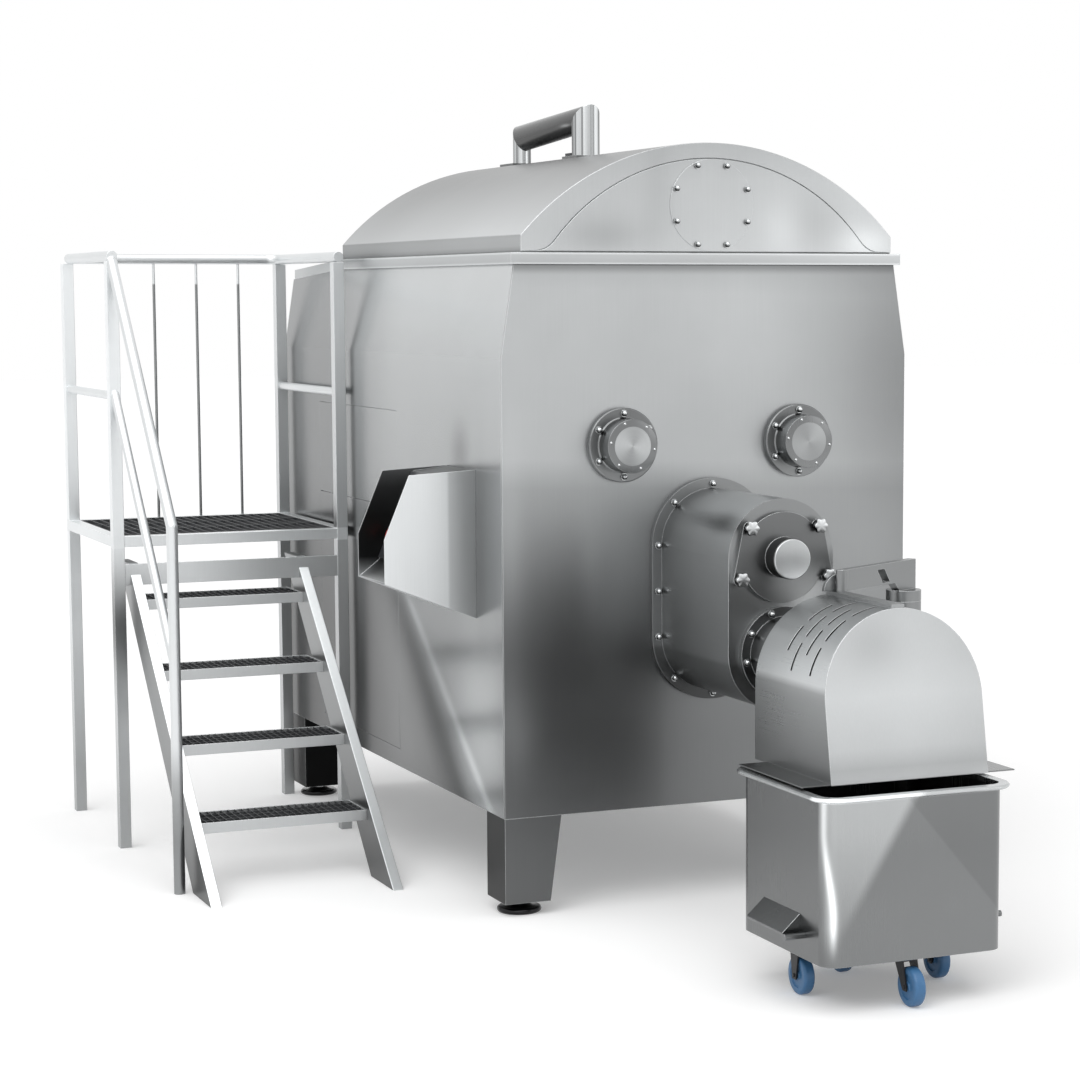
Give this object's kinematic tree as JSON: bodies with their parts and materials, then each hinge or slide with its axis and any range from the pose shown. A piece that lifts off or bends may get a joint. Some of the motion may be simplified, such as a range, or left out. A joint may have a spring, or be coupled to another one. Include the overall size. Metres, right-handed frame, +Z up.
{
  "type": "meat mixer grinder",
  "caption": "Floor-standing mixing grinder: arched-lid hopper with paddle shafts and worms, hooded outlet over a wheeled bin, and a stepped inspection platform",
  "frame": {"origin": "middle of the footprint on the floor, under the middle of the bounding box", "axes": "+X to the machine's right seen from the front, +Y from the front plate to the back, +Z up"},
  "size_m": [2.577, 4.3474, 2.9382],
  "materials": {
    "brushed_steel": "fine brushed stainless steel sheet",
    "rail_steel": "satin stainless tube and flat",
    "machined_steel": "turned and milled stainless steel",
    "polished_tube": "polished tube",
    "seal_rubber": "matt black seal",
    "drive_paint": "grey drive paint",
    "grating": "dull open grating",
    "foot_black": "black",
    "wheel_blue": "blue elastic tread on a pale hub",
    "panel_dark": "dark operating panel",
    "button_green": "green button",
    "button_red": "red button",
    "switch_black": "black knob"
  },
  "bodies": {
    "machine": {"front_plate": "brushed_steel", "left_wall": "brushed_steel", "right_wall": "brushed_steel", "rear_cover": "brushed_steel", "service_panels": "brushed_steel", "base_frame": "brushed_steel", "bulkhead": "brushed_steel", "hopper_rim": "brushed_steel", "mixing_trough": "brushed_steel", "worm_channel": "brushed_steel", "legs": "brushed_steel", "console_housing": "brushed_steel", "outlet_housing": "brushed_steel", "outlet_cover": "brushed_steel", "outlet_neck": "brushed_steel", "hood_hinge_post": "brushed_steel", "shaft_bearings": "brushed_steel", "platform_frame": "rail_steel", "guard_rails": "rail_steel", "stair_stringers": "rail_steel", "ring_nut": "machined_steel", "pre_cutter": "machined_steel", "hole_plate": "machined_steel", "lid_hinge_bases": "machined_steel", "front_bolts": "machined_steel", "cover_star_bolts": "machined_steel", "lid_seal": "seal_rubber", "worm_drive": "drive_paint", "mixer_drives": "drive_paint", "deck_grating": "grating", "stair_treads": "grating", "levelling_feet": "foot_black", "console_panel": "panel_dark"},
    "lid": {"lid_shell": "brushed_steel", "lid_front": "brushed_steel", "lid_port": "brushed_steel", "port_bolts": "machined_steel", "lid_bow": "polished_tube", "lid_hinge_leaves": "machined_steel"},
    "hood": {"hood_shell": "brushed_steel", "hood_front": "brushed_steel", "swing_arm": "brushed_steel"},
    "left_paddle_shaft": {"mixing_shaft_left": "machined_steel"},
    "right_paddle_shaft": {"mixing_shaft_right": "machined_steel"},
    "upper_worm": {"feed_worm": "machined_steel"},
    "lower_worm": {"main_worm": "machined_steel", "knife": "machined_steel"},
    "start": {"start_button": "button_green"},
    "stop": {"stop_button": "button_red"},
    "stop_mushroom": {"emergency_stop": "button_red"},
    "selector": {"selector_switch": "switch_black"},
    "trolley": {"trolley_bin": "brushed_steel", "lifting_lugs": "brushed_steel", "wheel_brackets": "foot_black"},
    "left_side_wheel": {"side_wheel_left": "wheel_blue"},
    "right_side_wheel": {"side_wheel_right": "wheel_blue"},
    "front_castor": {"castor_fork_front": "foot_black"},
    "back_castor": {"castor_fork_back": "foot_black"},
    "front_castor_wheel": {"castor_wheel_front": "wheel_blue"},
    "back_castor_wheel": {"castor_wheel_back": "wheel_blue"}
  },
  "joints": [
    {"name": "lid_hinge", "type": "hinge", "parent": "machine", "child": "lid", "pos_m": [1.2375, 0.51375, 2.355], "axis": [0, 1, 0], "range_deg": [0, 75]},
    {"name": "hood_swing", "type": "hinge", "parent": "machine", "child": "hood", "pos_m": [0.842, -1.30625, 1.15], "axis": [0, 0, 1], "range_deg": [0, 100]},
    {"name": "left_paddle_turn", "type": "hinge", "parent": "machine", "child": "left_paddle_shaft", "pos_m": [0.144, 0.49375, 1.667], "axis": [0, 1, 0], "continuous": true},
    {"name": "right_paddle_turn", "type": "hinge", "parent": "machine", "child": "right_paddle_shaft", "pos_m": [0.838, 0.49375, 1.667], "axis": [0, 1, 0], "continuous": true},
    {"name": "lower_worm_turn", "type": "hinge", "parent": "machine", "child": "lower_worm", "pos_m": [0.491, -0.50625, 0.977], "axis": [0, 1, 0], "continuous": true},
    {"name": "upper_worm_turn", "type": "hinge", "parent": "machine", "child": "upper_worm", "pos_m": [0.491, -0.50625, 1.305], "axis": [0, 1, 0], "continuous": true},
    {"name": "start_press", "type": "slide", "parent": "machine", "child": "start", "axis": [0.9219, 0, -0.3875], "range_m": [0, 0.0035], "stiffness_N_per_m": 600, "springref_m": -0.002},
    {"name": "stop_press", "type": "slide", "parent": "machine", "child": "stop", "axis": [0.9219, 0, -0.3875], "range_m": [0, 0.0035], "stiffness_N_per_m": 600, "springref_m": -0.002},
    {"name": "emergency_press", "type": "slide", "parent": "machine", "child": "stop_mushroom", "axis": [0.9219, 0, -0.3875], "range_m": [0, 0.0035]},
    {"name": "selector_turn", "type": "hinge", "parent": "machine", "child": "selector", "pos_m": [-0.48482, -0.18725, 1.46454], "axis": [-0.9219, 0, 0.3875], "range_deg": [-45, 45]},
    {"name": "trolley_roll", "type": "slide", "parent": "machine", "child": "trolley", "axis": [0, -1, 0], "range_m": [0, 0.8]},
    {"name": "left_side_wheel_spin", "type": "hinge", "parent": "trolley", "child": "left_side_wheel", "pos_m": [0.184, -1.84125, 0.0625], "axis": [1, 0, 0], "continuous": true},
    {"name": "right_side_wheel_spin", "type": "hinge", "parent": "trolley", "child": "right_side_wheel", "pos_m": [0.674, -1.84125, 0.0625], "axis": [1, 0, 0], "continuous": true},
    {"name": "front_castor_swivel", "type": "hinge", "parent": "trolley", "child": "front_castor", "pos_m": [0.429, -2.07325, 0.14], "axis": [0, 0, 1], "continuous": true},
    {"name": "front_castor_wheel_spin", "type": "hinge", "parent": "front_castor", "child": "front_castor_wheel", "pos_m": [0.429, -2.11125, 0.0625], "axis": [1, 0, 0], "continuous": true},
    {"name": "back_castor_swivel", "type": "hinge", "parent": "trolley", "child": "back_castor", "pos_m": [0.429, -1.60925, 0.14], "axis": [0, 0, 1], "continuous": true},
    {"name": "back_castor_wheel_spin", "type": "hinge", "parent": "back_castor", "child": "back_castor_wheel", "pos_m": [0.429, -1.64725, 0.0625], "axis": [1, 0, 0], "continuous": true}
  ],
  "couplings": [
    {"joint": "upper_worm_turn", "follows": "lower_worm_turn", "ratio": 0.5},
    {"joint": "left_side_wheel_spin", "follows": "trolley_roll", "rad_per_m": 16},
    {"joint": "right_side_wheel_spin", "follows": "trolley_roll", "rad_per_m": 16}
  ]
}
